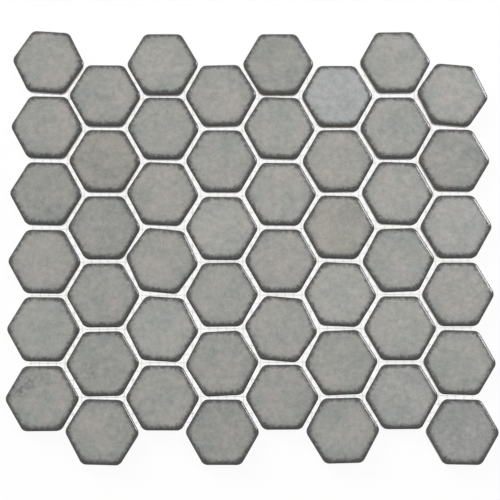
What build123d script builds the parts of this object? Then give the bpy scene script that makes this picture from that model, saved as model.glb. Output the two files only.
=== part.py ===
"""Sheet of hexagon mosaic tiles: glazed porcelain hexagons stuck face up on a trimmed thread net.

Millimetres, +Z up. The sheet lies flat on its net, with the origin under the middle of the sheet.
Columns run along X, rows along Y, and row 1 is the far one, at +Y.
"""

from build123d import *
import math
import os
import random

# Layout of the sheet
COLUMNS = 8
ROWS = 6
JOINT = 2.4  # open joint between the flats of two neighbours

# One tile, with two flats square to Y
TILE_FLATS = 38.0  # across two opposite flats
TILE_THICKNESS = 6.0  # back to face
CORNER_RADIUS = 4.0  # upright corners, seen from above
CORNER_FLATS = 3  # short flats that make each rounded corner
SHARPEST_CORNER = 0.1  # least radius that is left to a corner where the face is moved in
EDGE_WIDTH = 0.8  # rolled edge between wall and face, seen from above
EDGE_DROP = 0.9  # height of the rolled edge
CUSHION_WIDTH = 2.8  # band inside the rolled edge where the face starts to fall
CUSHION_DROP = 0.5  # fall of the face over that band

# Net of threads laid in two layers under the tiles
NET_PITCH = 5.0  # thread to thread, both ways
THREAD_WIDTH = 0.6
THREAD_THICKNESS = 0.2  # one layer
NET_TRIM = 2.0  # how far the net is cut back inside the outer tiles' edges

# How the tiles sit on the net, in joint widths: how far a corner swings, anticlockwise
# from above, and how far the tile is shifted to +X and to +Y.
SCATTER_SEED = 12
SCATTER_SWING = 0.12
SCATTER_SHIFT = 0.05
CROOKED_TILES = {
    (1, 1): (-0.6, 0.2, 0.3),
    (1, 3): (0.0, -0.2, -0.3),
    (1, 4): (0.2, -0.1, 0.0),
    (1, 5): (0.0, -0.2, -0.3),
    (1, 6): (0.0, 0.0, -0.2),
    (1, 7): (0.1, 0.2, 0.2),
    (1, 8): (-0.8, 0.0, 0.1),
    (2, 1): (-0.2, 0.1, 0.3),
    (2, 5): (-0.3, -0.1, 0.0),
    (2, 8): (-0.2, -0.1, 0.1),
    (3, 1): (-0.2, 0.1, 0.2),
    (3, 3): (-0.4, -0.1, 0.1),
    (3, 4): (-0.1, 0.0, -0.2),
    (3, 6): (-0.3, -0.1, 0.0),
    (3, 7): (-0.3, 0.1, 0.1),
    (4, 3): (-0.9, -0.2, 0.1),
    (4, 6): (-0.4, 0.0, 0.0),
    (4, 7): (0.3, 0.0, 0.1),
    (5, 3): (-0.6, -0.1, 0.0),
    (5, 4): (0.4, 0.0, -0.1),
    (5, 5): (-0.8, -0.1, -0.1),
    (5, 6): (0.3, 0.0, 0.0),
    (5, 8): (-0.3, -0.1, -0.1),
    (6, 2): (-0.3, 0.0, 0.2),
    (6, 6): (0.2, 0.1, 0.3),
    (6, 8): (-0.2, 0.1, -0.2),
}

PITCH = TILE_FLATS + JOINT
COLUMN_PITCH = PITCH * math.cos(math.radians(30))
CORNER_DISTANCE = TILE_FLATS / 2 / math.cos(math.radians(30))
NET_THICKNESS = 2 * THREAD_THICKNESS


def hexagon(flats):
    """Hexagon with two of its flats square to Y."""
    return RegularPolygon(flats / 2, 6, major_radius=False)


def tile_ring(inset, z):
    """Corner points of the tile's outline at one level, moved in by an inset."""
    radius = max(CORNER_RADIUS - inset, SHARPEST_CORNER)
    reach = (TILE_FLATS / 2 - inset - radius) / math.cos(math.radians(30))
    points = []
    for corner in range(6):
        middle = Vector(reach, 0, z).rotate(Axis.Z, 60 * corner)
        for step in range(CORNER_FLATS + 1):
            facing = 60 * corner - 30 + 60 * step / CORNER_FLATS
            points.append(middle + Vector(radius, 0).rotate(Axis.Z, facing))
    return points


def tile_solid():
    """One tile on z = 0: upright wall, rolled edge in two steps, cushion and flat face."""
    edge_z = TILE_THICKNESS - CUSHION_DROP - EDGE_DROP
    half_way = math.sin(math.radians(45))
    levels = [
        (0, 0),
        (0, edge_z),
        (EDGE_WIDTH * (1 - half_way), edge_z + EDGE_DROP * half_way),
        (EDGE_WIDTH, edge_z + EDGE_DROP),
        (EDGE_WIDTH + CUSHION_WIDTH, TILE_THICKNESS),
    ]
    rings = [tile_ring(inset, z) for inset, z in levels]
    faces = [Face(Wire.make_polygon(rings[0])), Face(Wire.make_polygon(rings[-1]))]
    for low, high in zip(rings, rings[1:]):
        for i in range(len(low)):
            faces.append(Face(Wire.make_polygon([low[i - 1], low[i], high[i], high[i - 1]])))
    return Solid(Shell(faces))


def cell_centre(row, column):
    """Middle of a tile's cell: each second column hangs half a pitch lower."""
    drop = PITCH / 2 if column % 2 == 0 else 0.0
    return Vector((column - 1) * COLUMN_PITCH, -(row - 1) * PITCH - drop)


def tile_seat(row, column, scatter):
    """Where a tile sits on the net, a little out of line."""
    swing = scatter.uniform(-SCATTER_SWING, SCATTER_SWING)
    right = scatter.uniform(-SCATTER_SHIFT, SCATTER_SHIFT)
    up = scatter.uniform(-SCATTER_SHIFT, SCATTER_SHIFT)
    swing, right, up = CROOKED_TILES.get((row, column), (swing, right, up))
    turn = math.degrees(swing * JOINT / CORNER_DISTANCE)
    centre = cell_centre(row, column) + Vector(right * JOINT, up * JOINT)
    return Pos(centre.X, centre.Y, NET_THICKNESS) * Rot(0, 0, turn)


def net_outline(cells):
    """The zigzag that the net is trimmed to, inside the edges of the outer tiles."""
    whole = Sketch() + [Pos(cell.X, cell.Y) * hexagon(PITCH) for cell in cells]
    return offset(whole, -(JOINT / 2 + NET_TRIM), kind=Kind.INTERSECTION)


def thread_layer(outline, z, along_x):
    """One layer of parallel threads, cut to the net's outline."""
    box = outline.bounding_box()
    middle = box.center()
    spread = box.size.Y if along_x else box.size.X
    strip = Rectangle(box.size.X, THREAD_WIDTH) if along_x else Rectangle(THREAD_WIDTH, box.size.Y)
    step = Vector(0, NET_PITCH) if along_x else Vector(NET_PITCH, 0)
    half_count = int(spread / 2 / NET_PITCH)
    places = [middle + step * i for i in range(-half_count, half_count + 1)]
    strips = Sketch() + [Pos(place.X, place.Y) * strip for place in places]
    return Pos(0, 0, z) * extrude(outline & strips, THREAD_THICKNESS)


def middle_of(pieces):
    """Middle of the box round several pieces, in plan."""
    boxes = [piece.bounding_box() for piece in pieces]
    middle_x = (min(box.min.X for box in boxes) + max(box.max.X for box in boxes)) / 2
    middle_y = (min(box.min.Y for box in boxes) + max(box.max.Y for box in boxes)) / 2
    return middle_x, middle_y


def mosaic_sheet():
    """Every piece by name, moved so that the origin is under the middle of the sheet."""
    grid = [(row, column) for row in range(1, ROWS + 1) for column in range(1, COLUMNS + 1)]
    scatter = random.Random(SCATTER_SEED)
    tile = tile_solid()
    tiles = {f"tile_r{row}_c{column}": tile_seat(row, column, scatter) * tile for row, column in grid}
    outline = net_outline([cell_centre(row, column) for row, column in grid])
    net = {
        "net_warp_threads": thread_layer(outline, 0.0, along_x=False),
        "net_weft_threads": thread_layer(outline, THREAD_THICKNESS, along_x=True),
    }
    middle_x, middle_y = middle_of(tiles.values())
    return {name: Pos(-middle_x, -middle_y) * piece for name, piece in {**tiles, **net}.items()}


os.makedirs("parts", exist_ok=True)
for node, piece in mosaic_sheet().items():
    export_step(piece, f"parts/{node}.step")
    print(node, len(piece.solids()), "solids", round(piece.volume), "mm3")
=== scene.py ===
# %% [markdown]
# # A sheet of glazed hexagon mosaic
#
# Forty-eight pressed porcelain hexagons, glazed in a satin grey, lie face up on a net of white
# threads. The CAD model already says where every tile and thread is. This lesson keeps those
# places and gives each piece the shape and finish that the eye expects: a soft rolled edge, a
# glaze that breaks dark where it thins, and round threads in place of flat strips.

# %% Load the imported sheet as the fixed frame
import math
import random

import bmesh
import bpy
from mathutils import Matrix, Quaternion, Vector


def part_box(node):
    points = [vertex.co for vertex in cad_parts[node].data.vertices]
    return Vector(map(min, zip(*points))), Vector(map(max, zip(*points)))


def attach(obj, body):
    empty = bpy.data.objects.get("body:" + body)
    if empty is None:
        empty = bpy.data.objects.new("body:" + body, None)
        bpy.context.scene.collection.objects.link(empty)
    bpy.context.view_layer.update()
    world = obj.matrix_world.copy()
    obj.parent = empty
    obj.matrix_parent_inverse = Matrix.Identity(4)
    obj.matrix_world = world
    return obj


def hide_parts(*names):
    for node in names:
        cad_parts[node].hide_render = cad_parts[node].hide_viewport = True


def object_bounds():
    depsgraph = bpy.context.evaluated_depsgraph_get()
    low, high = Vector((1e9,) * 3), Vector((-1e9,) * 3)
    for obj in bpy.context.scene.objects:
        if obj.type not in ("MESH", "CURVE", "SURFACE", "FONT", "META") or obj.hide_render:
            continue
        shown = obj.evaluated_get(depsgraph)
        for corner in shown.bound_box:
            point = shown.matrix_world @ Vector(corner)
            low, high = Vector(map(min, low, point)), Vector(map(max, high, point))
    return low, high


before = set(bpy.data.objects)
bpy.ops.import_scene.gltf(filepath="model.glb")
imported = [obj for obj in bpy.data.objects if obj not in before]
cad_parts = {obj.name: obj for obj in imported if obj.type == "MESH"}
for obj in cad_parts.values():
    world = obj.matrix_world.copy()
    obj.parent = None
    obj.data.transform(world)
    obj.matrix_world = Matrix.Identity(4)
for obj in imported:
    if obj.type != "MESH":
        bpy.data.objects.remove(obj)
cad_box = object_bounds()
MM = 0.001  # Blender works in metres
tile_nodes = sorted(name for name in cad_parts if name.startswith("tile_"))
net_nodes = sorted(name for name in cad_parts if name.startswith("net_"))
print(len(tile_nodes), "tiles and", len(net_nodes), "net layers in the frame")

# %% [markdown]
# ## Three small helpers
#
# Paint and photographs are described in sRGB, but the renderer adds up light, so it needs linear
# values: the first function converts a hex colour. A new material or world comes with nodes
# that aren't wanted here, and the second function clears them. The third one adds a node. Its
# settings are plain properties, and each of its inputs is a value or another node's output.

# %% Helpers for colours and nodes
def linear(hex_colour):
    """An sRGB hex colour as linear RGBA."""
    parts = [int(hex_colour[i : i + 2], 16) / 255 for i in (1, 3, 5)]
    return [p / 12.92 if p <= 0.04045 else ((p + 0.055) / 1.055) ** 2.4 for p in parts] + [1.0]


def empty_tree(owner):
    """The node tree of a material or world, without the nodes that it starts with."""
    owner.use_nodes = True
    owner.node_tree.nodes.clear()
    return owner.node_tree


def add(tree, kind, inputs=None, **settings):
    """Add a node. Inputs are given by name or number, as a value or as another node's output."""
    node = tree.nodes.new(kind)
    for name, value in settings.items():
        setattr(node, name, value)
    for key, value in (inputs or {}).items():
        if isinstance(value, bpy.types.NodeSocket):
            tree.links.new(value, node.inputs[key])
        else:
            node.inputs[key].default_value = value
    return node


print("white is", linear("#ffffff"))

# %% [markdown]
# ## The glaze on the face
#
# A reactive satin glaze is melted onto the tile. It lies thick on the flat face, where the eye
# sees a mottled warm grey, and runs thin over the edge, where it breaks nearly black. The colour
# could be painted by hand, but every tile would then need its own picture. Here noise at real
# sizes makes clouds, mottling and speckle. It reads Object coordinates, which run on across the
# whole sheet, so no two tiles are alike.

# %% Patterns in the glaze
PATTERNS = {  # size, and the number of finer layers in the noise
    "clouds": (13.0 * MM, 3.0),  # broad patches of warmer and cooler grey
    "mottle": (3.5 * MM, 2.0),
    "grain": (1.1 * MM, 3.0),  # fine speckle
    "wander": (2.2 * MM, 4.0),  # bays and tongues where the glaze thins or ends
}
LAYER_WEIGHT = 0.55  # how much each finer layer counts

glaze = bpy.data.materials.new("satin_reactive_glaze_on_porcelain")
glaze_tree = empty_tree(glaze)
place = add(glaze_tree, "ShaderNodeTexCoord").outputs["Object"]
pattern = {}
for name, (size, layers) in PATTERNS.items():
    noise = add(glaze_tree, "ShaderNodeTexNoise", {
        "Vector": place, "Scale": 1 / size, "Detail": layers, "Roughness": LAYER_WEIGHT})
    pattern[name] = noise.outputs["Fac"]
print(glaze.name, "has the patterns", ", ".join(pattern))

# %% Colours of the face
CLOUD_SHADES = ((0.32, "#929591"), (0.5, "#959590"), (0.68, "#97938f"))  # cool, plain and warm
GLAZE_BLUE = "#a3a6a8"
GLAZE_TAN = "#9c9388"

patches = add(glaze_tree, "ShaderNodeValToRGB", {"Fac": pattern["clouds"]})
stops = patches.color_ramp.elements
stops.new(CLOUD_SHADES[1][0])
for stop, (position, shade) in zip(stops, CLOUD_SHADES):
    stop.position = position
    stop.color = linear(shade)
colour = patches.outputs["Color"]

# A tint above 0 mixes in blue, and one below 0 tan. Inputs 6 and 7 of a mix are its two colours.
tint = add(glaze_tree, "ShaderNodeAttribute", attribute_name="tile_tint").outputs["Fac"]
for sign, shade in ((1.0, GLAZE_BLUE), (-1.0, GLAZE_TAN)):
    share = add(glaze_tree, "ShaderNodeMath", {
        0: tint, 1: sign}, operation="MULTIPLY", use_clamp=True)
    tinted = add(glaze_tree, "ShaderNodeMix", {
        0: share.outputs[0], 6: colour, 7: linear(shade)}, data_type="RGBA")
    colour = tinted.outputs[2]
print("the face runs from", CLOUD_SHADES[0][1], "to", CLOUD_SHADES[-1][1])

# %% How light the glaze is
TONE_VALUE = 0.12  # change of lightness for one step of a tile's own tone
PATTERN_VALUES = {"clouds": 0.5, "mottle": 0.55, "grain": 0.48}  # change across each pattern

tone = add(glaze_tree, "ShaderNodeAttribute", attribute_name="tile_tone").outputs["Fac"]
plain_value = 1.0 - sum(PATTERN_VALUES.values()) / 2  # because a noise is about 0.5 on average
value = add(glaze_tree, "ShaderNodeMath", {
    0: tone, 1: TONE_VALUE, 2: plain_value}, operation="MULTIPLY_ADD")
for name, strength in PATTERN_VALUES.items():
    value = add(glaze_tree, "ShaderNodeMath", {
        0: pattern[name], 1: strength, 2: value.outputs[0]}, operation="MULTIPLY_ADD")
lit = add(glaze_tree, "ShaderNodeHueSaturation", {"Color": colour, "Value": value.outputs[0]})
colour = lit.outputs["Color"]
print(len(PATTERN_VALUES), "patterns change the lightness from", round(plain_value, 3), "up")

# %% [markdown]
# ## Marks from the kiln
#
# A few tiles have dark smudges, where smoke or a speck of metal marked the glaze in the kiln. A
# texture painter would dab them on. Here each one has a place, a reach and a strength on the
# sheet: it fades with the distance from its place, and noise breaks it up into flecks.

# %% Dark marks on a few tiles
STAIN_BLUE = "#585c60"
FLECK_RANGE = (0.38, 0.62)  # part of the noise that turns from clear to marked
STAINS = (  # place on the sheet and reach in millimetres, and strength
    ((-135, -86), 7.0, 0.9),
    ((-129, -82), 7.0, 0.8),
    ((-122, -79), 6.0, 0.5),
    ((-95, -76), 9.0, 0.55),
    ((94, -108), 1.6, 0.9),
    ((54, -126), 1.8, 0.9),
)

flecked = add(glaze_tree, "ShaderNodeMapRange", {
    "Value": pattern["wander"], "From Min": FLECK_RANGE[0], "From Max": FLECK_RANGE[1]})
for (x, y), reach_mm, strength in STAINS:
    mark = (x * MM, y * MM, cad_box[1][2])
    away = add(glaze_tree, "ShaderNodeVectorMath", {0: place, 1: mark}, operation="DISTANCE")
    fading = add(glaze_tree, "ShaderNodeMapRange", {
        "Value": away.outputs["Value"], "From Min": 0.0, "From Max": reach_mm * MM,
        "To Min": strength, "To Max": 0.0}, interpolation_type="SMOOTHSTEP")
    broken = add(glaze_tree, "ShaderNodeMath", {
        0: fading.outputs["Result"], 1: flecked.outputs["Result"]}, operation="MULTIPLY")
    stained = add(glaze_tree, "ShaderNodeMix", {
        0: broken.outputs[0], 6: colour, 7: linear(STAIN_BLUE)}, data_type="RGBA")
    colour = stained.outputs[2]
print(len(STAINS), "kiln marks")

# %% [markdown]
# ## The dark rim
#
# Where the melted glaze runs thin over the edge, it breaks to a slate black, and the border of
# the face is a little deeper too. An edge mask could be painted for each tile. Here the tile's
# mesh carries its distance from the edge as an attribute, so the rim follows every tile by
# itself, and the noise moves its inner line in and out.

# %% Border and rim
RIM_WANDER = 3.6  # millimetres between the deepest bay and the longest tongue
RIM_DARK_TO = 0.3  # millimetres in from the edge where the glaze is still fully dark
RIM_FADES_AT = 3.5  # millimetres in from the edge where the rim has gone
RIM_TAIL = 0.14  # share of slate that deepens the whole border of the face
TAIL_FADES_AT = 8.0  # millimetres in from the edge where that has gone
RIM_SLATE = "#4a5560"
RIM_BLACK = "#373633"
RIM_BLUE = "#464746"

# This distance is shortened by the thinning at the corners and, as painted shade, along the lower
# and upper right edges.
from_edge = add(glaze_tree, "ShaderNodeAttribute", attribute_name="inset_mm").outputs["Fac"]
tail = add(glaze_tree, "ShaderNodeMapRange", {
    "Value": from_edge, "From Min": 0.0, "From Max": TAIL_FADES_AT,
    "To Min": RIM_TAIL, "To Max": 0.0}, interpolation_type="SMOOTHSTEP")
bordered = add(glaze_tree, "ShaderNodeMix", {
    0: tail.outputs["Result"], 6: colour, 7: linear(RIM_SLATE)}, data_type="RGBA")
wandering = add(glaze_tree, "ShaderNodeMath", {
    0: pattern["wander"], 1: RIM_WANDER, 2: from_edge}, operation="MULTIPLY_ADD")
rim = add(glaze_tree, "ShaderNodeMapRange", {
    "Value": wandering.outputs[0], "From Min": RIM_DARK_TO + RIM_WANDER / 2,
    "From Max": RIM_FADES_AT + RIM_WANDER / 2, "To Min": 1.0, "To Max": 0.0,
}, interpolation_type="SMOOTHSTEP").outputs["Result"]
rim_shade = add(glaze_tree, "ShaderNodeMix", {
    0: pattern["mottle"], 6: linear(RIM_BLACK), 7: linear(RIM_BLUE)}, data_type="RGBA")
rimmed = add(glaze_tree, "ShaderNodeMix", {
    0: rim, 6: bordered.outputs[2], 7: rim_shade.outputs[2]}, data_type="RGBA")
print("the rim fades between", RIM_DARK_TO, "and", RIM_FADES_AT, "mm in from the edge")

# %% [markdown]
# ## Bare porcelain, gloss and orange peel
#
# Low on the wall the glaze stops in an uneven line, and dry, pale porcelain shows below it and on
# the back. A second material could do that, but a line in the same tree can wander freely. The
# face is satin, the thin glaze on the edge is glossier, and the melted surface has a faint
# orange peel. The peel is too shallow to model, so it is a bump.

# %% Porcelain below the glaze line
GLAZE_STOPS_AT = 2.8 * MM  # bare porcelain below this height on the wall
GLAZE_LINE_WANDER = 0.8 * MM
GLAZE_LINE_BLUR = 0.1 * MM  # either way of the line
PORCELAIN = "#e0dacd"

height = add(glaze_tree, "ShaderNodeSeparateXYZ", {"Vector": place}).outputs["Z"]
glaze_line = add(glaze_tree, "ShaderNodeMath", {
    0: pattern["wander"], 1: GLAZE_LINE_WANDER, 2: GLAZE_STOPS_AT}, operation="MULTIPLY_ADD")
above = add(glaze_tree, "ShaderNodeMath", {
    0: height, 1: glaze_line.outputs[0]}, operation="SUBTRACT")
glazed = add(glaze_tree, "ShaderNodeMapRange", {
    "Value": above.outputs[0], "From Min": -GLAZE_LINE_BLUR, "From Max": GLAZE_LINE_BLUR,
}).outputs["Result"]
covered = add(glaze_tree, "ShaderNodeMix", {
    0: glazed, 6: linear(PORCELAIN), 7: rimmed.outputs[2]}, data_type="RGBA")
print("the glaze stops", round(GLAZE_STOPS_AT / MM, 1), "mm above the floor")

# %% Gloss, orange peel and the finished glaze
SATIN_ROUGHNESS = (0.32, 0.46)
RIM_ROUGHNESS = 0.2  # the thin glaze on the edge is glossier than the face
BARE_ROUGHNESS = 0.85
GLAZE_IOR = 1.5
PEEL_SIZE = 1.8 * MM
PEEL_LAYERS = 2.0
PEEL_DEPTH = 0.03 * MM
PEEL_STRENGTH = 0.6

satin = add(glaze_tree, "ShaderNodeMapRange", {
    "Value": pattern["mottle"], "To Min": SATIN_ROUGHNESS[0], "To Max": SATIN_ROUGHNESS[1]})
# Inputs 2 and 3 of a mix are its two numbers
glossed = add(glaze_tree, "ShaderNodeMix", {0: rim, 2: satin.outputs["Result"], 3: RIM_ROUGHNESS})
dry = add(glaze_tree, "ShaderNodeMix", {0: glazed, 2: BARE_ROUGHNESS, 3: glossed.outputs[0]})
peel = add(glaze_tree, "ShaderNodeTexNoise", {
    "Vector": place, "Scale": 1 / PEEL_SIZE, "Detail": PEEL_LAYERS})
peel_bump = add(glaze_tree, "ShaderNodeBump", {
    "Strength": PEEL_STRENGTH, "Distance": PEEL_DEPTH, "Height": peel.outputs["Fac"]})
glaze_shader = add(glaze_tree, "ShaderNodeBsdfPrincipled", {
    "Base Color": covered.outputs[2], "Roughness": dry.outputs[0], "IOR": GLAZE_IOR,
    "Normal": peel_bump.outputs["Normal"]})
add(glaze_tree, "ShaderNodeOutputMaterial", {"Surface": glaze_shader.outputs["BSDF"]})
print(glaze.name, "has", len(glaze_tree.nodes), "nodes")

# %% [markdown]
# ## One tile as a rule
#
# A pressed tile follows a simple rule: a hexagon with rounded corners, a wall that leans in
# towards the back, an edge that rolls over and a face that falls a little towards its border. A
# modeller would draw the hexagon, extrude it, and then extrude and scale the top face again and
# again. Geometry Nodes can do just that with a repeat zone, and the same tree then serves every
# tile. What all tiles share has its value here, and the rest is read from each tile's solid.

# %% An empty tree with named inputs
PRESSED_SIZES = {
    "Wall Draft": 0.3 * MM,  # how far the pressed wall leans in towards the back
    "Edge Width": 0.8 * MM,  # rolled edge, seen from above
    "Edge Drop": 0.5 * MM,
    "Cushion Reach": 4.5 * MM,  # from the outer edge to the flat of the face
    "Cushion Drop": 0.9 * MM,
    "Ring Reach": 8.0 * MM,  # from the outer edge to the innermost ring
}
OWN_VALUES = ("Across Flats", "Thickness", "Corner Radius", "Turn", "Tone", "Tint")


def tree_with_inputs(name, sockets):
    """A Geometry Nodes tree with named inputs, and the sockets that give their values."""
    tree = bpy.data.node_groups.new(name, "GeometryNodeTree")
    for socket_name, kind in sockets.items():
        tree.interface.new_socket(socket_name, in_out="INPUT", socket_type=kind)
    tree.interface.new_socket("Geometry", in_out="OUTPUT", socket_type="NodeSocketGeometry")
    return tree, add(tree, "NodeGroupInput").outputs


tile_sockets = {name: "NodeSocketFloat" for name in (*PRESSED_SIZES, *OWN_VALUES)}
tile_sockets |= {"Centre": "NodeSocketVector", "Seed": "NodeSocketInt"}
tile_tree, given = tree_with_inputs("glazed_hexagon_tile", tile_sockets)
print(tile_tree.name, "has the inputs", ", ".join(tile_sockets))

# %% The outline, as a filled hexagon with rounded corners
SIDES = 6
COS_30 = math.cos(math.radians(30))
CORNER_POINTS = 8  # on each rounded corner, before the points are spaced evenly
OUTLINE_STEP = 0.7 * MM  # spacing of points round the hexagon

half_flats = add(tile_tree, "ShaderNodeMath", {
    0: given["Across Flats"], 1: 0.5}, operation="MULTIPLY").outputs[0]
corner = add(tile_tree, "ShaderNodeMath", {0: half_flats, 1: COS_30}, operation="DIVIDE")
hexagon = add(tile_tree, "GeometryNodeCurvePrimitiveCircle", {
    "Resolution": SIDES, "Radius": corner.outputs[0]})
rounded = add(tile_tree, "GeometryNodeFilletCurve", {
    "Curve": hexagon.outputs["Curve"], "Count": CORNER_POINTS, "Radius": given["Corner Radius"],
}, mode="POLY")
spaced = add(tile_tree, "GeometryNodeResampleCurve", {
    "Curve": rounded.outputs[0], "Length": OUTLINE_STEP}, mode="LENGTH")
filled = add(tile_tree, "GeometryNodeFillCurve", {"Curve": spaced.outputs[0]}, mode="NGONS")
here = add(tile_tree, "GeometryNodeInputPosition").outputs[0]
outlined = add(tile_tree, "GeometryNodeStoreNamedAttribute", {
    "Geometry": filled.outputs[0], "Name": "outline", "Value": here}, data_type="FLOAT_VECTOR")
print("the outline has", SIDES, "corners and a point every", round(OUTLINE_STEP / MM, 1), "mm")

# %% [markdown]
# ## Where the glaze runs thin, and painted shade along two edges
#
# Melted glaze pulls back from the corners, so the dark rim reaches further in there. Along the
# lower edge and the upper right edge it also reaches further in, as painted shade that stands in
# for how the light falls on those edges. The tree works this out on the outline, as millimetres to
# take off the distance from the edge, and an attribute keeps it for the rings.

# %% Thin corners, and painted shade along two edges
CORNER_BREAK = 0.55  # millimetres that the dark rim reaches further in at the corners
CORNER_RANGE = (1.06, 1.12)  # where a corner begins and counts in full, in half widths of the tile
# The wider rim along these edges is painted shade.
SHADED_EDGES = (  # the way an edge faces, and the millimetres that the rim reaches further in there
    ((0.0, -1.0, 0.0), 0.45),
    ((COS_30, 0.5, 0.0), 0.2),
)

far_out = add(tile_tree, "ShaderNodeVectorMath", {0: here}, operation="LENGTH")
half_widths = add(tile_tree, "ShaderNodeMath", {
    0: far_out.outputs["Value"], 1: half_flats}, operation="DIVIDE")
at_corner = add(tile_tree, "ShaderNodeMapRange", {
    "Value": half_widths.outputs[0], "From Min": CORNER_RANGE[0], "From Max": CORNER_RANGE[1],
}, interpolation_type="SMOOTHSTEP")
thin_and_shade = add(tile_tree, "ShaderNodeMath", {
    0: at_corner.outputs["Result"], 1: CORNER_BREAK}, operation="MULTIPLY")
# Add the painted shade of each edge to the thinning at the corners.
for way, shade_mm in SHADED_EDGES:
    along = add(tile_tree, "ShaderNodeVectorMath", {0: here, 1: way}, operation="DOT_PRODUCT")
    facing = add(tile_tree, "ShaderNodeMath", {
        0: along.outputs["Value"], 1: half_flats}, operation="DIVIDE", use_clamp=True)
    square = add(tile_tree, "ShaderNodeMath", {0: facing.outputs[0], 1: 2.0}, operation="POWER")
    thin_and_shade = add(tile_tree, "ShaderNodeMath", {
        0: square.outputs[0], 1: shade_mm, 2: thin_and_shade.outputs[0]}, operation="MULTIPLY_ADD")
thinned_and_shaded = add(tile_tree, "GeometryNodeStoreNamedAttribute", {
    "Geometry": outlined.outputs[0], "Name": "thinning_and_shade_mm", "Value": thin_and_shade.outputs[0]})
print("the rim is wider at the corners and along", len(SHADED_EDGES), "edges")

# %% [markdown]
# ## Rings from the foot to the face
#
# The outline, drawn a little smaller, is the foot of the wall. From there a repeat zone extrudes
# the top face ring by ring: to the top of the wall, over the rolled edge and on to the flat of the
# face. The rings crowd towards the edge, where the surface bends most. Each new ring writes its
# distance from the edge into an attribute for the glaze.

# %% The foot of the wall
lean = add(tile_tree, "ShaderNodeMath", {
    0: given["Wall Draft"], 1: half_flats}, operation="DIVIDE")
foot_scale = add(tile_tree, "ShaderNodeMath", {0: 1.0, 1: lean.outputs[0]}, operation="SUBTRACT")
foot_place = add(tile_tree, "ShaderNodeVectorMath", {
    0: here, "Scale": foot_scale.outputs[0]}, operation="SCALE")
foot = add(tile_tree, "GeometryNodeSetPosition", {
    "Geometry": thinned_and_shaded.outputs[0], "Position": foot_place.outputs[0]})
foot_noted = add(tile_tree, "GeometryNodeStoreNamedAttribute", {
    "Geometry": foot.outputs[0], "Name": "inset_mm", "Value": 0.0})
ready = add(tile_tree, "GeometryNodeStoreNamedAttribute", {
    "Geometry": foot_noted.outputs[0], "Name": "top", "Value": True,
}, data_type="BOOLEAN", domain="FACE")
print("the wall leans in by", round(PRESSED_SIZES["Wall Draft"] / MM, 1), "mm")

# %% How far in each ring lies
RINGS = 16
RING_CROWDING = 2.2  # above 1 the rings crowd towards the outer edge

ring_start = add(tile_tree, "GeometryNodeRepeatInput", {"Iterations": RINGS + 1})
ring_end = add(tile_tree, "GeometryNodeRepeatOutput")
ring_start.pair_with_output(ring_end)
tile_tree.links.new(ready.outputs[0], ring_start.inputs["Geometry"])
step = add(tile_tree, "ShaderNodeMath", {
    0: ring_start.outputs["Iteration"], 1: RINGS}, operation="DIVIDE")
crowded = add(tile_tree, "ShaderNodeMath", {
    0: step.outputs[0], 1: RING_CROWDING}, operation="POWER")
inset = add(tile_tree, "ShaderNodeMath", {
    0: crowded.outputs[0], 1: given["Ring Reach"]}, operation="MULTIPLY").outputs[0]
print(RINGS, "rings inside the outer edge")

# %% How high each ring lies: the face, less its cushion, less its rolled edge
CUSHION_POWER = 3.0  # the higher, the closer to the edge the cushion bends down

across = add(tile_tree, "ShaderNodeMath", {
    0: inset, 1: given["Cushion Reach"]}, operation="DIVIDE")
still_to_go = add(tile_tree, "ShaderNodeMath", {
    0: 1.0, 1: across.outputs[0]}, operation="SUBTRACT", use_clamp=True)
fall = add(tile_tree, "ShaderNodeMath", {
    0: still_to_go.outputs[0], 1: CUSHION_POWER}, operation="POWER")
cushion = add(tile_tree, "ShaderNodeMath", {
    0: fall.outputs[0], 1: given["Cushion Drop"]}, operation="MULTIPLY")

# The rolled edge is a quarter of an ellipse
over_edge = add(tile_tree, "ShaderNodeMath", {
    0: inset, 1: given["Edge Width"]}, operation="DIVIDE", use_clamp=True)
short = add(tile_tree, "ShaderNodeMath", {0: 1.0, 1: over_edge.outputs[0]}, operation="SUBTRACT")
short_square = add(tile_tree, "ShaderNodeMath", {0: short.outputs[0], 1: 2.0}, operation="POWER")
arch_square = add(tile_tree, "ShaderNodeMath", {
    0: 1.0, 1: short_square.outputs[0]}, operation="SUBTRACT", use_clamp=True)
arch = add(tile_tree, "ShaderNodeMath", {0: arch_square.outputs[0]}, operation="SQRT")
roll = add(tile_tree, "ShaderNodeMath", {0: 1.0, 1: arch.outputs[0]}, operation="SUBTRACT")
drop = add(tile_tree, "ShaderNodeMath", {
    0: roll.outputs[0], 1: given["Edge Drop"], 2: cushion.outputs[0]}, operation="MULTIPLY_ADD")
ring_height = add(tile_tree, "ShaderNodeMath", {
    0: given["Thickness"], 1: drop.outputs[0]}, operation="SUBTRACT")
print("the cushion falls by", round(PRESSED_SIZES["Cushion Drop"] / MM, 1), "mm in all")

# %% Extrude the top face to each ring
on_top = add(tile_tree, "GeometryNodeInputNamedAttribute", {"Name": "top"}, data_type="BOOLEAN")
extruded = add(tile_tree, "GeometryNodeExtrudeMesh", {
    "Mesh": ring_start.outputs["Geometry"], "Selection": on_top.outputs["Attribute"],
    "Offset Scale": 0.0, "Individual": False})
top = extruded.outputs["Top"]
outline = add(tile_tree, "GeometryNodeInputNamedAttribute", {
    "Name": "outline"}, data_type="FLOAT_VECTOR")
narrowing = add(tile_tree, "ShaderNodeMath", {0: inset, 1: half_flats}, operation="DIVIDE")
scale = add(tile_tree, "ShaderNodeMath", {
    0: 1.0, 1: narrowing.outputs[0]}, operation="SUBTRACT").outputs[0]
spread = add(tile_tree, "ShaderNodeCombineXYZ", {"X": scale, "Y": scale, "Z": 0.0})
lift = add(tile_tree, "ShaderNodeCombineXYZ", {"X": 0.0, "Y": 0.0, "Z": ring_height.outputs[0]})
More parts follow.
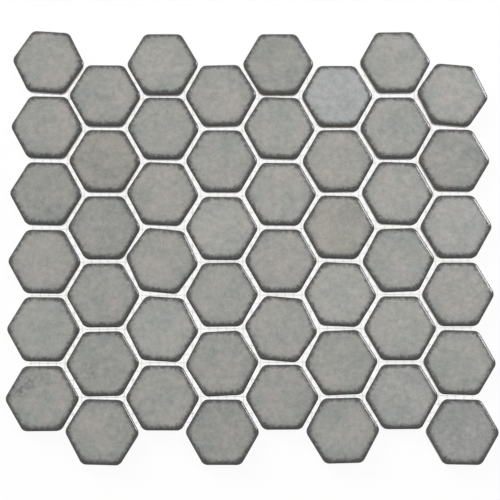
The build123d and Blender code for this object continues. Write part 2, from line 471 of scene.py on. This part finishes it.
ring = add(tile_tree, "ShaderNodeVectorMath", {
    0: outline.outputs["Attribute"], 1: spread.outputs[0], 2: lift.outputs[0],
}, operation="MULTIPLY_ADD")
moved = add(tile_tree, "GeometryNodeSetPosition", {
    "Geometry": extruded.outputs["Mesh"], "Selection": top, "Position": ring.outputs[0]})
print("each ring is the outline, made smaller and lifted")

# %% Note each ring's distance from the edge
inset_mm = add(tile_tree, "ShaderNodeMath", {0: inset, 1: MM}, operation="DIVIDE")
thinning_and_shade = add(tile_tree, "GeometryNodeInputNamedAttribute", {
    "Name": "thinning_and_shade_mm"}, data_type="FLOAT")
# The distance is shortened by the thinning at the corners and by the painted shade along two edges.
lessened = add(tile_tree, "ShaderNodeMath", {
    0: inset_mm.outputs[0], 1: thinning_and_shade.outputs["Attribute"]}, operation="SUBTRACT")
ring_noted = add(tile_tree, "GeometryNodeStoreNamedAttribute", {
    "Geometry": moved.outputs[0], "Selection": top, "Name": "inset_mm",
    "Value": lessened.outputs[0]})
ring_marked = add(tile_tree, "GeometryNodeStoreNamedAttribute", {
    "Geometry": ring_noted.outputs[0], "Name": "top", "Value": top,
}, data_type="BOOLEAN", domain="FACE")
tile_tree.links.new(ring_marked.outputs[0], ring_end.inputs["Geometry"])
print("the repeat zone runs", RINGS + 1, "times")

# %% [markdown]
# ## A melted surface
#
# The back is closed with a copy of the foot, turned over. A glaze that has melted and set is
# never quite flat, so noise lets the glazed part sink by less than a tenth of a millimetre. It
# sinks and never rises, because the tile has to stay inside its CAD box. All is then shaded
# smooth apart from the sharp edge round the back.

# %% Close the back and let the glaze lie uneven
MERGE_DISTANCE = 0.001 * MM
UNEVENNESS = 0.08 * MM  # how far the melted surface lies below the ideal one at most
UNEVEN_SIZE = 9.0 * MM
UNEVEN_LAYERS = 1.0

back = add(tile_tree, "GeometryNodeFlipFaces", {"Mesh": foot_noted.outputs[0]})
whole = add(tile_tree, "GeometryNodeJoinGeometry", {"Geometry": ring_end.outputs["Geometry"]})
tile_tree.links.new(back.outputs[0], whole.inputs["Geometry"])
closed = add(tile_tree, "GeometryNodeMergeByDistance", {
    "Geometry": whole.outputs[0], "Distance": MERGE_DISTANCE})
melt = add(tile_tree, "ShaderNodeTexNoise", {
    "W": given["Seed"], "Scale": 1 / UNEVEN_SIZE, "Detail": UNEVEN_LAYERS}, noise_dimensions="4D")
sink = add(tile_tree, "ShaderNodeMath", {
    0: melt.outputs["Fac"], 1: -UNEVENNESS}, operation="MULTIPLY")
outwards = add(tile_tree, "GeometryNodeInputNormal").outputs["Normal"]
sunk = add(tile_tree, "ShaderNodeVectorMath", {
    0: outwards, "Scale": sink.outputs[0]}, operation="SCALE")
level = add(tile_tree, "ShaderNodeSeparateXYZ", {"Vector": here}).outputs["Z"]
glazed_part = add(tile_tree, "ShaderNodeMath", {
    0: level, 1: GLAZE_STOPS_AT}, operation="GREATER_THAN")
uneven = add(tile_tree, "GeometryNodeSetPosition", {
    "Geometry": closed.outputs[0], "Selection": glazed_part.outputs[0], "Offset": sunk.outputs[0]})
print("the glaze is uneven by", round(UNEVENNESS / MM, 2), "mm at most")

# %% Smooth the tile and write its own values on it
CREASE_ANGLE = math.radians(40)
HELPER_ATTRIBUTES = ("outline", "thinning_and_shade_mm", "top")

angle = add(tile_tree, "GeometryNodeInputMeshEdgeAngle").outputs["Unsigned Angle"]
crease = add(tile_tree, "ShaderNodeMath", {0: angle, 1: CREASE_ANGLE}, operation="GREATER_THAN")
smooth = add(tile_tree, "GeometryNodeSetShadeSmooth", {
    "Geometry": uneven.outputs[0], "Shade Smooth": True})
shaped = add(tile_tree, "GeometryNodeSetShadeSmooth", {
    "Geometry": smooth.outputs[0], "Selection": crease.outputs[0], "Shade Smooth": False,
}, domain="EDGE")
for attribute, value in (("tile_tone", given["Tone"]), ("tile_tint", given["Tint"])):
    shaped = add(tile_tree, "GeometryNodeStoreNamedAttribute", {
        "Geometry": shaped.outputs[0], "Name": attribute, "Value": value})
for attribute in HELPER_ATTRIBUTES:
    shaped = add(tile_tree, "GeometryNodeRemoveAttribute", {
        "Geometry": shaped.outputs[0], "Name": attribute})
print("the tile keeps its tone, its tint and its distance from the edge")

# %% Turn the tile, put it in its place and finish the tree
turned = add(tile_tree, "ShaderNodeCombineXYZ", {"X": 0.0, "Y": 0.0, "Z": given["Turn"]})
placed = add(tile_tree, "GeometryNodeTransform", {
    "Geometry": shaped.outputs[0], "Translation": given["Centre"], "Rotation": turned.outputs[0]})
real_tile = add(tile_tree, "GeometryNodeRealizeInstances", {"Geometry": placed.outputs[0]})
glazed_tile = add(tile_tree, "GeometryNodeSetMaterial", {
    "Geometry": real_tile.outputs[0], "Material": glaze})
add(tile_tree, "NodeGroupOutput", {"Geometry": glazed_tile.outputs[0]})
print(tile_tree.name, "has", len(tile_tree.nodes), "nodes")

# %% [markdown]
# ## Forty-eight tiles
#
# Hand-laid tiles are never quite in line. The place of each one is read from its CAD solid: the
# middle of its back, and its turn from the direction of its corners. A hexagon looks the same
# every 60 degrees, so the corners' directions are averaged six times round. The radius of the
# corners follows from how far they stay short of a sharp hexagon's. The tree is then run once for
# each tile, and its result is kept as a plain mesh. Kiln and glaze batch give each tile a tone of
# its own: a few plainly paler, deeper, bluish or tan ones are named, and the rest are drawn from
# a fixed seed.

# %% Where each tile sits
LEVEL_TOLERANCE = 0.01 * MM
PLACE_DIGITS = 7  # of a metre: points that agree in these are one point
CORNER_SHARE = 0.99  # points at least this near to the longest arm's length belong to a corner


def measure_tile(node):
    """Middle of the back, turn, width across flats, corner radius and thickness of a solid."""
    low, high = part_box(node)
    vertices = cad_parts[node].data.vertices
    on_back = [v.co for v in vertices if v.co.z - low.z < LEVEL_TOLERANCE]
    spots = sorted({(round(co.x, PLACE_DIGITS), round(co.y, PLACE_DIGITS)) for co in on_back})
    middle = sum((Vector(spot) for spot in spots), Vector((0, 0))) / len(spots)
    arms = [Vector(spot) - middle for spot in spots]
    longest = max(arm.length for arm in arms)
    corners = [math.atan2(arm.y, arm.x) for arm in arms if arm.length > CORNER_SHARE * longest]
    sines = sum(math.sin(SIDES * corner) for corner in corners)
    cosines = sum(math.cos(SIDES * corner) for corner in corners)
    turn = math.atan2(sines, cosines) / SIDES
    flat_normal = Vector((-math.sin(turn), math.cos(turn)))
    flats = 2 * max(arm.dot(flat_normal) for arm in arms)
    corner_reach = max(arm.dot(Vector((math.cos(turn), math.sin(turn)))) for arm in arms)
    radius = (flats / 2 / COS_30 - corner_reach) / (1 / COS_30 - 1)
    return Vector((*middle, low.z)), turn, flats, radius, high.z - low.z


middle, turn, flats, radius, thickness = measure_tile(tile_nodes[0])
print("first tile:", round(flats / MM, 2), "mm wide and", round(thickness / MM, 2), "mm thick,")
print("corners", round(radius / MM, 2), "mm round, turned", round(math.degrees(turn), 2), "degrees")

# %% Make the tiles
TONE_SEED = 7
TONE_SPREAD = 0.2  # either way, for the tiles that aren't named
OWN_TONES = {  # above 0 paler, below 0 deeper
    "tile_r3_c4": 0.8, "tile_r4_c6": 0.8, "tile_r5_c1": 0.6, "tile_r5_c3": 0.8, "tile_r5_c7": 0.5,
    "tile_r1_c5": -0.8, "tile_r2_c2": -0.7, "tile_r2_c8": -1.2, "tile_r3_c1": -0.7,
    "tile_r3_c2": -0.7, "tile_r6_c4": -0.5, "tile_r6_c8": -1.2,
}
OWN_TINTS = {  # above 0 bluish, below 0 tan
    "tile_r1_c6": 0.5, "tile_r6_c8": 0.3, "tile_r3_c8": 0.2, "tile_r6_c7": 0.15,
    "tile_r2_c2": -0.25, "tile_r2_c6": -0.2, "tile_r3_c3": -0.1, "tile_r3_c6": -0.3,
}


def run_tree(name, tree, values, mesh=None):
    """Run a tree on an object and keep what it makes as a plain mesh, with no modifier left."""
    piece = bpy.data.objects.new(name, mesh or bpy.data.meshes.new(name))
    bpy.context.scene.collection.objects.link(piece)
    modifier = piece.modifiers.new("build", "NODES")
    modifier.node_group = tree
    for item in tree.interface.items_tree:
        if item.in_out == "INPUT" and item.name in values:
            modifier[item.identifier] = values[item.name]
    depsgraph = bpy.context.evaluated_depsgraph_get()
    made = bpy.data.meshes.new_from_object(
        piece.evaluated_get(depsgraph), preserve_all_data_layers=True, depsgraph=depsgraph)
    piece.modifiers.clear()
    piece.data = made
    return piece


draw = random.Random(TONE_SEED)
tile_faces = 0
for number, node in enumerate(tile_nodes):
    middle, turn, flats, radius, thickness = measure_tile(node)
    drawn_tone = draw.uniform(-TONE_SPREAD, TONE_SPREAD)
    values = PRESSED_SIZES | {
        "Across Flats": flats, "Thickness": thickness, "Corner Radius": radius, "Turn": turn,
        "Centre": middle, "Seed": number, "Tone": OWN_TONES.get(node, drawn_tone),
        "Tint": OWN_TINTS.get(node, 0.0),
    }
    piece = run_tree("glazed_" + node, tile_tree, values)
    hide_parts(node)
    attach(piece, "root")
    tile_faces += len(piece.data.polygons)
print(len(tile_nodes), "glazed tiles with", tile_faces, "faces")

# %% [markdown]
# ## The thread
#
# The net is glass-fibre yarn in a milky coat that stiffens it. Thin glass fibre lets most of the
# light through, so on white paper the threads nearly vanish: the shader is mostly transmission,
# with an IOR close to that of air. The twist of the yarn shows as fine ridges. They follow the
# thread, so the pattern reads the distance along the thread, which the mesh carries as an
# attribute.

# %% Finish of the thread
YARN_WHITE = "#faf9f6"
YARN_SHADE = "#f1efe9"
YARN_ROUGHNESS = 0.45
YARN_IOR = 1.04
YARN_TRANSMISSION = 0.88
BLOTCH_SIZE = 7.0 * MM  # where the coat lies thicker and thinner
BLOTCH_LAYERS = 2.0
TWIST_LENGTH = 1.6  # millimetres for one turn of the yarn, drawn coarser than real so that it shows
TWIST_DEPTH = 0.05 * MM
TWIST_STRENGTH = 0.5

yarn = bpy.data.materials.new("white_coated_glass_fibre_yarn")
yarn_tree = empty_tree(yarn)
yarn_place = add(yarn_tree, "ShaderNodeTexCoord").outputs["Object"]
blotch = add(yarn_tree, "ShaderNodeTexNoise", {
    "Vector": yarn_place, "Scale": 1 / BLOTCH_SIZE, "Detail": BLOTCH_LAYERS})
coat = add(yarn_tree, "ShaderNodeMix", {
    0: blotch.outputs["Fac"], 6: linear(YARN_WHITE), 7: linear(YARN_SHADE)}, data_type="RGBA")
along_mm = add(yarn_tree, "ShaderNodeAttribute", attribute_name="along_mm").outputs["Fac"]
turns = add(yarn_tree, "ShaderNodeMath", {
    0: along_mm, 1: 2 * math.pi / TWIST_LENGTH}, operation="MULTIPLY")
ridges = add(yarn_tree, "ShaderNodeMath", {0: turns.outputs[0]}, operation="SINE")
twist_bump = add(yarn_tree, "ShaderNodeBump", {
    "Strength": TWIST_STRENGTH, "Distance": TWIST_DEPTH, "Height": ridges.outputs[0]})
yarn_shader = add(yarn_tree, "ShaderNodeBsdfPrincipled", {
    "Base Color": coat.outputs[2], "Roughness": YARN_ROUGHNESS, "IOR": YARN_IOR,
    "Transmission Weight": YARN_TRANSMISSION, "Normal": twist_bump.outputs["Normal"]})
add(yarn_tree, "ShaderNodeOutputMaterial", {"Surface": yarn_shader.outputs["BSDF"]})
print(yarn.name, "has", len(yarn_tree.nodes), "nodes")

# %% [markdown]
# ## The net
#
# The net is two layers of parallel threads, laid one on the other and trimmed along the zigzag of
# the outer tiles. The CAD solids are flat strips. Each strip gives one line, from end to end, and a
# second tree sweeps a flattened round section along every line. The lines wander a little
# sideways, because yarn isn't wire.

# %% Lines that wander
THREAD_STEP = 2.5 * MM  # spacing of points along a thread
DRIFT_SIZE = 11.0 * MM
DRIFT_LAYERS = 1.0

thread_tree, thread = tree_with_inputs("laid_threads", {
    "Geometry": "NodeSocketGeometry", "Width": "NodeSocketFloat", "Thickness": "NodeSocketFloat",
    "Wander": "NodeSocketFloat", "Seed": "NodeSocketInt"})
strip_lines = add(thread_tree, "GeometryNodeMeshToCurve", {"Mesh": thread["Geometry"]})
pointed = add(thread_tree, "GeometryNodeResampleCurve", {
    "Curve": strip_lines.outputs[0], "Length": THREAD_STEP}, mode="LENGTH")
drift = add(thread_tree, "ShaderNodeTexNoise", {
    "W": thread["Seed"], "Scale": 1 / DRIFT_SIZE, "Detail": DRIFT_LAYERS}, noise_dimensions="4D")

# The noise runs from 0 to 1. Centred and doubled it runs from -1 to 1, and without its third
# part it keeps each thread in its layer.
centred = add(thread_tree, "ShaderNodeVectorMath", {
    0: drift.outputs["Color"], 1: (0.5, 0.5, 0.5)}, operation="SUBTRACT")
flattened = add(thread_tree, "ShaderNodeVectorMath", {
    0: centred.outputs[0], 1: (2.0, 2.0, 0.0)}, operation="MULTIPLY")
sideways = add(thread_tree, "ShaderNodeVectorMath", {
    0: flattened.outputs[0], "Scale": thread["Wander"]}, operation="SCALE")
wandered = add(thread_tree, "GeometryNodeSetPosition", {
    "Geometry": pointed.outputs[0], "Offset": sideways.outputs[0]})
print(thread_tree.name, "spaces points", round(THREAD_STEP / MM, 1), "mm apart")

# %% Sweep the yarn along its line
THREAD_SIDES = 8

length = add(thread_tree, "GeometryNodeSplineParameter").outputs["Length"]
length_mm = add(thread_tree, "ShaderNodeMath", {0: length, 1: MM}, operation="DIVIDE")
measured = add(thread_tree, "GeometryNodeStoreNamedAttribute", {
    "Geometry": wandered.outputs[0], "Name": "along_mm", "Value": length_mm.outputs[0]})
upright = add(thread_tree, "GeometryNodeSetCurveNormal", {
    "Curve": measured.outputs[0]}, mode="Z_UP")
# A circle that is 1 wide takes the yarn's width and thickness by its scale
circle = add(thread_tree, "GeometryNodeCurvePrimitiveCircle", {
    "Resolution": THREAD_SIDES, "Radius": 0.5})
section_size = add(thread_tree, "ShaderNodeCombineXYZ", {
    "X": thread["Width"], "Y": thread["Thickness"], "Z": 1.0})
section = add(thread_tree, "GeometryNodeTransform", {
    "Geometry": circle.outputs["Curve"], "Scale": section_size.outputs[0]})
swept = add(thread_tree, "GeometryNodeCurveToMesh", {
    "Curve": upright.outputs[0], "Profile Curve": section.outputs[0], "Fill Caps": True})
smooth_yarn = add(thread_tree, "GeometryNodeSetShadeSmooth", {
    "Geometry": swept.outputs[0], "Shade Smooth": True})
real_yarn = add(thread_tree, "GeometryNodeRealizeInstances", {"Geometry": smooth_yarn.outputs[0]})
coated_yarn = add(thread_tree, "GeometryNodeSetMaterial", {
    "Geometry": real_yarn.outputs[0], "Material": yarn})
add(thread_tree, "NodeGroupOutput", {"Geometry": coated_yarn.outputs[0]})
print(thread_tree.name, "has", len(thread_tree.nodes), "nodes")


# %% Find the strips of a net layer
def strips_of(node):
    """Lowest and highest corner of each separate strip in a net layer."""
    work = bmesh.new()
    work.from_mesh(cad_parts[node].data)
    bmesh.ops.remove_doubles(work, verts=work.verts, dist=MERGE_DISTANCE)
    waiting = set(work.verts)
    boxes = []
    while waiting:
        reached = [waiting.pop()]
        for vert in reached:
            near = {edge.other_vert(vert) for edge in vert.link_edges} & waiting
            waiting -= near
            reached.extend(near)
        low = Vector([min(v.co[i] for v in reached) for i in range(3)])
        high = Vector([max(v.co[i] for v in reached) for i in range(3)])
        boxes.append((low, high))
    work.free()
    return sorted(boxes, key=lambda box: tuple(box[0]))


strips = {node: strips_of(node) for node in net_nodes}
print({node: len(boxes) for node, boxes in strips.items()}, "strips")

# %% Lay the threads along the strips
THREAD_WANDER = 0.15 * MM

for number, (node, boxes) in enumerate(strips.items()):
    along = 0 if node == "net_weft_threads" else 1
    width = boxes[0][1][1 - along] - boxes[0][0][1 - along]
    thickness = boxes[0][1].z - boxes[0][0].z
    ends = []
    for low, high in boxes:
        start = (low + high) / 2
        stop = start.copy()
        start[along] = low[along]
        stop[along] = high[along]
        ends += [start, stop]
    lines = bpy.data.meshes.new(node + "_lines")
    lines.from_pydata(ends, [(i, i + 1) for i in range(0, len(ends), 2)], [])
    values = {"Width": width, "Thickness": thickness, "Wander": THREAD_WANDER, "Seed": number}
    piece = run_tree("yarn_" + node, thread_tree, values, lines)
    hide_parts(node)
    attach(piece, "root")
    print(piece.name, round(width / MM, 2), "mm wide,", len(piece.data.polygons), "faces")

# %% [markdown]
# ## Floor and sky
#
# The sheet lies on a white surface under soft studio light, and an even sky does most of the
# work. A sky bright enough to look white would flood the sheet with light. So the sky and the
# floor look white only to the camera and in reflections, and light the sheet at a plain level. A
# part of the floor's own shading stays in, so that the sheet keeps its soft shadow.

# %% White sky
WHITE = "#ffffff"
SKY_LEVEL = 0.425  # share of white at which the sky lights the sheet


def seen_directly(tree):
    """1 for camera, mirror and see-through rays, 0 for the light that falls on the object."""
    rays = add(tree, "ShaderNodeLightPath").outputs
    mirror = add(tree, "ShaderNodeMath", {
        0: rays["Is Camera Ray"], 1: rays["Is Glossy Ray"]}, operation="MAXIMUM")
    through = add(tree, "ShaderNodeMath", {
        0: mirror.outputs[0], 1: rays["Is Transmission Ray"]}, operation="MAXIMUM")
    return through.outputs[0]


sky = bpy.data.worlds.new("white_studio")
sky_tree = empty_tree(sky)
lighting = add(sky_tree, "ShaderNodeBackground", {"Color": linear(WHITE), "Strength": SKY_LEVEL})
seen_sky = add(sky_tree, "ShaderNodeBackground", {"Color": linear(WHITE), "Strength": 1.0})
sky_mix = add(sky_tree, "ShaderNodeMixShader", {
    0: seen_directly(sky_tree), 1: lighting.outputs[0], 2: seen_sky.outputs[0]})
add(sky_tree, "ShaderNodeOutputWorld", {"Surface": sky_mix.outputs[0]})
bpy.context.scene.world = sky
print("the sky lights at", SKY_LEVEL)

# %% White floor
PAPER = "#f4f4f4"
FLOOR_WHITE = 0.93  # share of plain white in what the camera sees of the floor
FLOOR_SIZE = 6.0  # metres
FLOOR_GAP = 0.05 * MM  # between the net and the paper

sweep = bpy.data.materials.new("white_paper_sweep")
sweep_tree = empty_tree(sweep)
paper = add(sweep_tree, "ShaderNodeBsdfDiffuse", {"Color": linear(PAPER)})
seen_floor = add(sweep_tree, "ShaderNodeEmission", {"Color": linear(WHITE), "Strength": 1.0})
white_share = add(sweep_tree, "ShaderNodeMath", {
    0: seen_directly(sweep_tree), 1: FLOOR_WHITE}, operation="MULTIPLY")
sweep_mix = add(sweep_tree, "ShaderNodeMixShader", {
    0: white_share.outputs[0], 1: paper.outputs[0], 2: seen_floor.outputs[0]})
add(sweep_tree, "ShaderNodeOutputMaterial", {"Surface": sweep_mix.outputs[0]})

half = FLOOR_SIZE / 2
floor_corners = [(-half, -half), (half, -half), (half, half), (-half, half)]
floor_mesh = bpy.data.meshes.new("floor")
floor_mesh.from_pydata(
    [(x, y, cad_box[0][2] - FLOOR_GAP) for x, y in floor_corners], [], [(0, 1, 2, 3)])
floor_mesh.materials.append(sweep)
floor = bpy.data.objects.new("floor", floor_mesh)
bpy.context.scene.collection.objects.link(floor)
print("the floor is", FLOOR_SIZE, "m wide")

# %% [markdown]
# ## Lamps and camera
#
# A far softbox on the left and a near one on the right make one side of each rim a little deeper
# than the other. A third lamp stands low on the right and is kept out of the diffuse light, so
# all it does is draw a thin bright line on the edges that mirror it. The camera looks down on the
# sheet from in front, as in the photograph, and is rolled a little to the side.

# %% Lamps
LAMPS = {  # place and width in metres, power in watts, and the kind of light it is kept to
    "far_softbox": (Vector((-1.49, 1.74, 1.0)), 1.4, 62.0, "diffuse"),
    "right_softbox": (Vector((0.36, 0.24, 0.62)), 0.3, 1.7, "diffuse"),
    "glint_lamp": (Vector((1.22, 0.72, 0.81)), 0.6, 20.5, "glossy"),
}

for name, (stand, width, power, kept_to) in LAMPS.items():
    light = bpy.data.lights.new(name, "AREA")
    light.shape = "DISK"
    light.size = width
    light.energy = power
    lamp = bpy.data.objects.new(name, light)
    lamp.location = stand
    lamp.visible_diffuse = kept_to == "diffuse"
    lamp.visible_glossy = kept_to == "glossy"
    lamp.rotation_euler = (-stand).to_track_quat("-Z", "Y").to_euler()
    bpy.context.scene.collection.objects.link(lamp)
print(len(LAMPS), "lamps aim at the middle of the sheet")

# %% Camera
CAMERA_AIM = Vector((-0.9, -4.1, 6.4)) * MM
CAMERA_PLACE = Vector((-17.9, -144.4, 880.9)) * MM
CAMERA_ROLL = math.radians(6.66)
CAMERA_LENS = 107.55  # millimetres, as is the sensor
SENSOR_WIDTH = 36.0

view = bpy.data.cameras.new("view")
view.sensor_width = SENSOR_WIDTH
view.lens = CAMERA_LENS
camera = bpy.data.objects.new("view", view)
camera.location = CAMERA_PLACE
aimed = (CAMERA_AIM - CAMERA_PLACE).to_track_quat("-Z", "Y")
camera.rotation_euler = (aimed @ Quaternion((0, 0, 1), CAMERA_ROLL)).to_euler()
bpy.context.scene.collection.objects.link(camera)
bpy.context.scene.camera = camera
bpy.context.scene.view_settings.view_transform = "Standard"
print("camera stands", round((CAMERA_PLACE - CAMERA_AIM).length, 3), "m from the sheet")
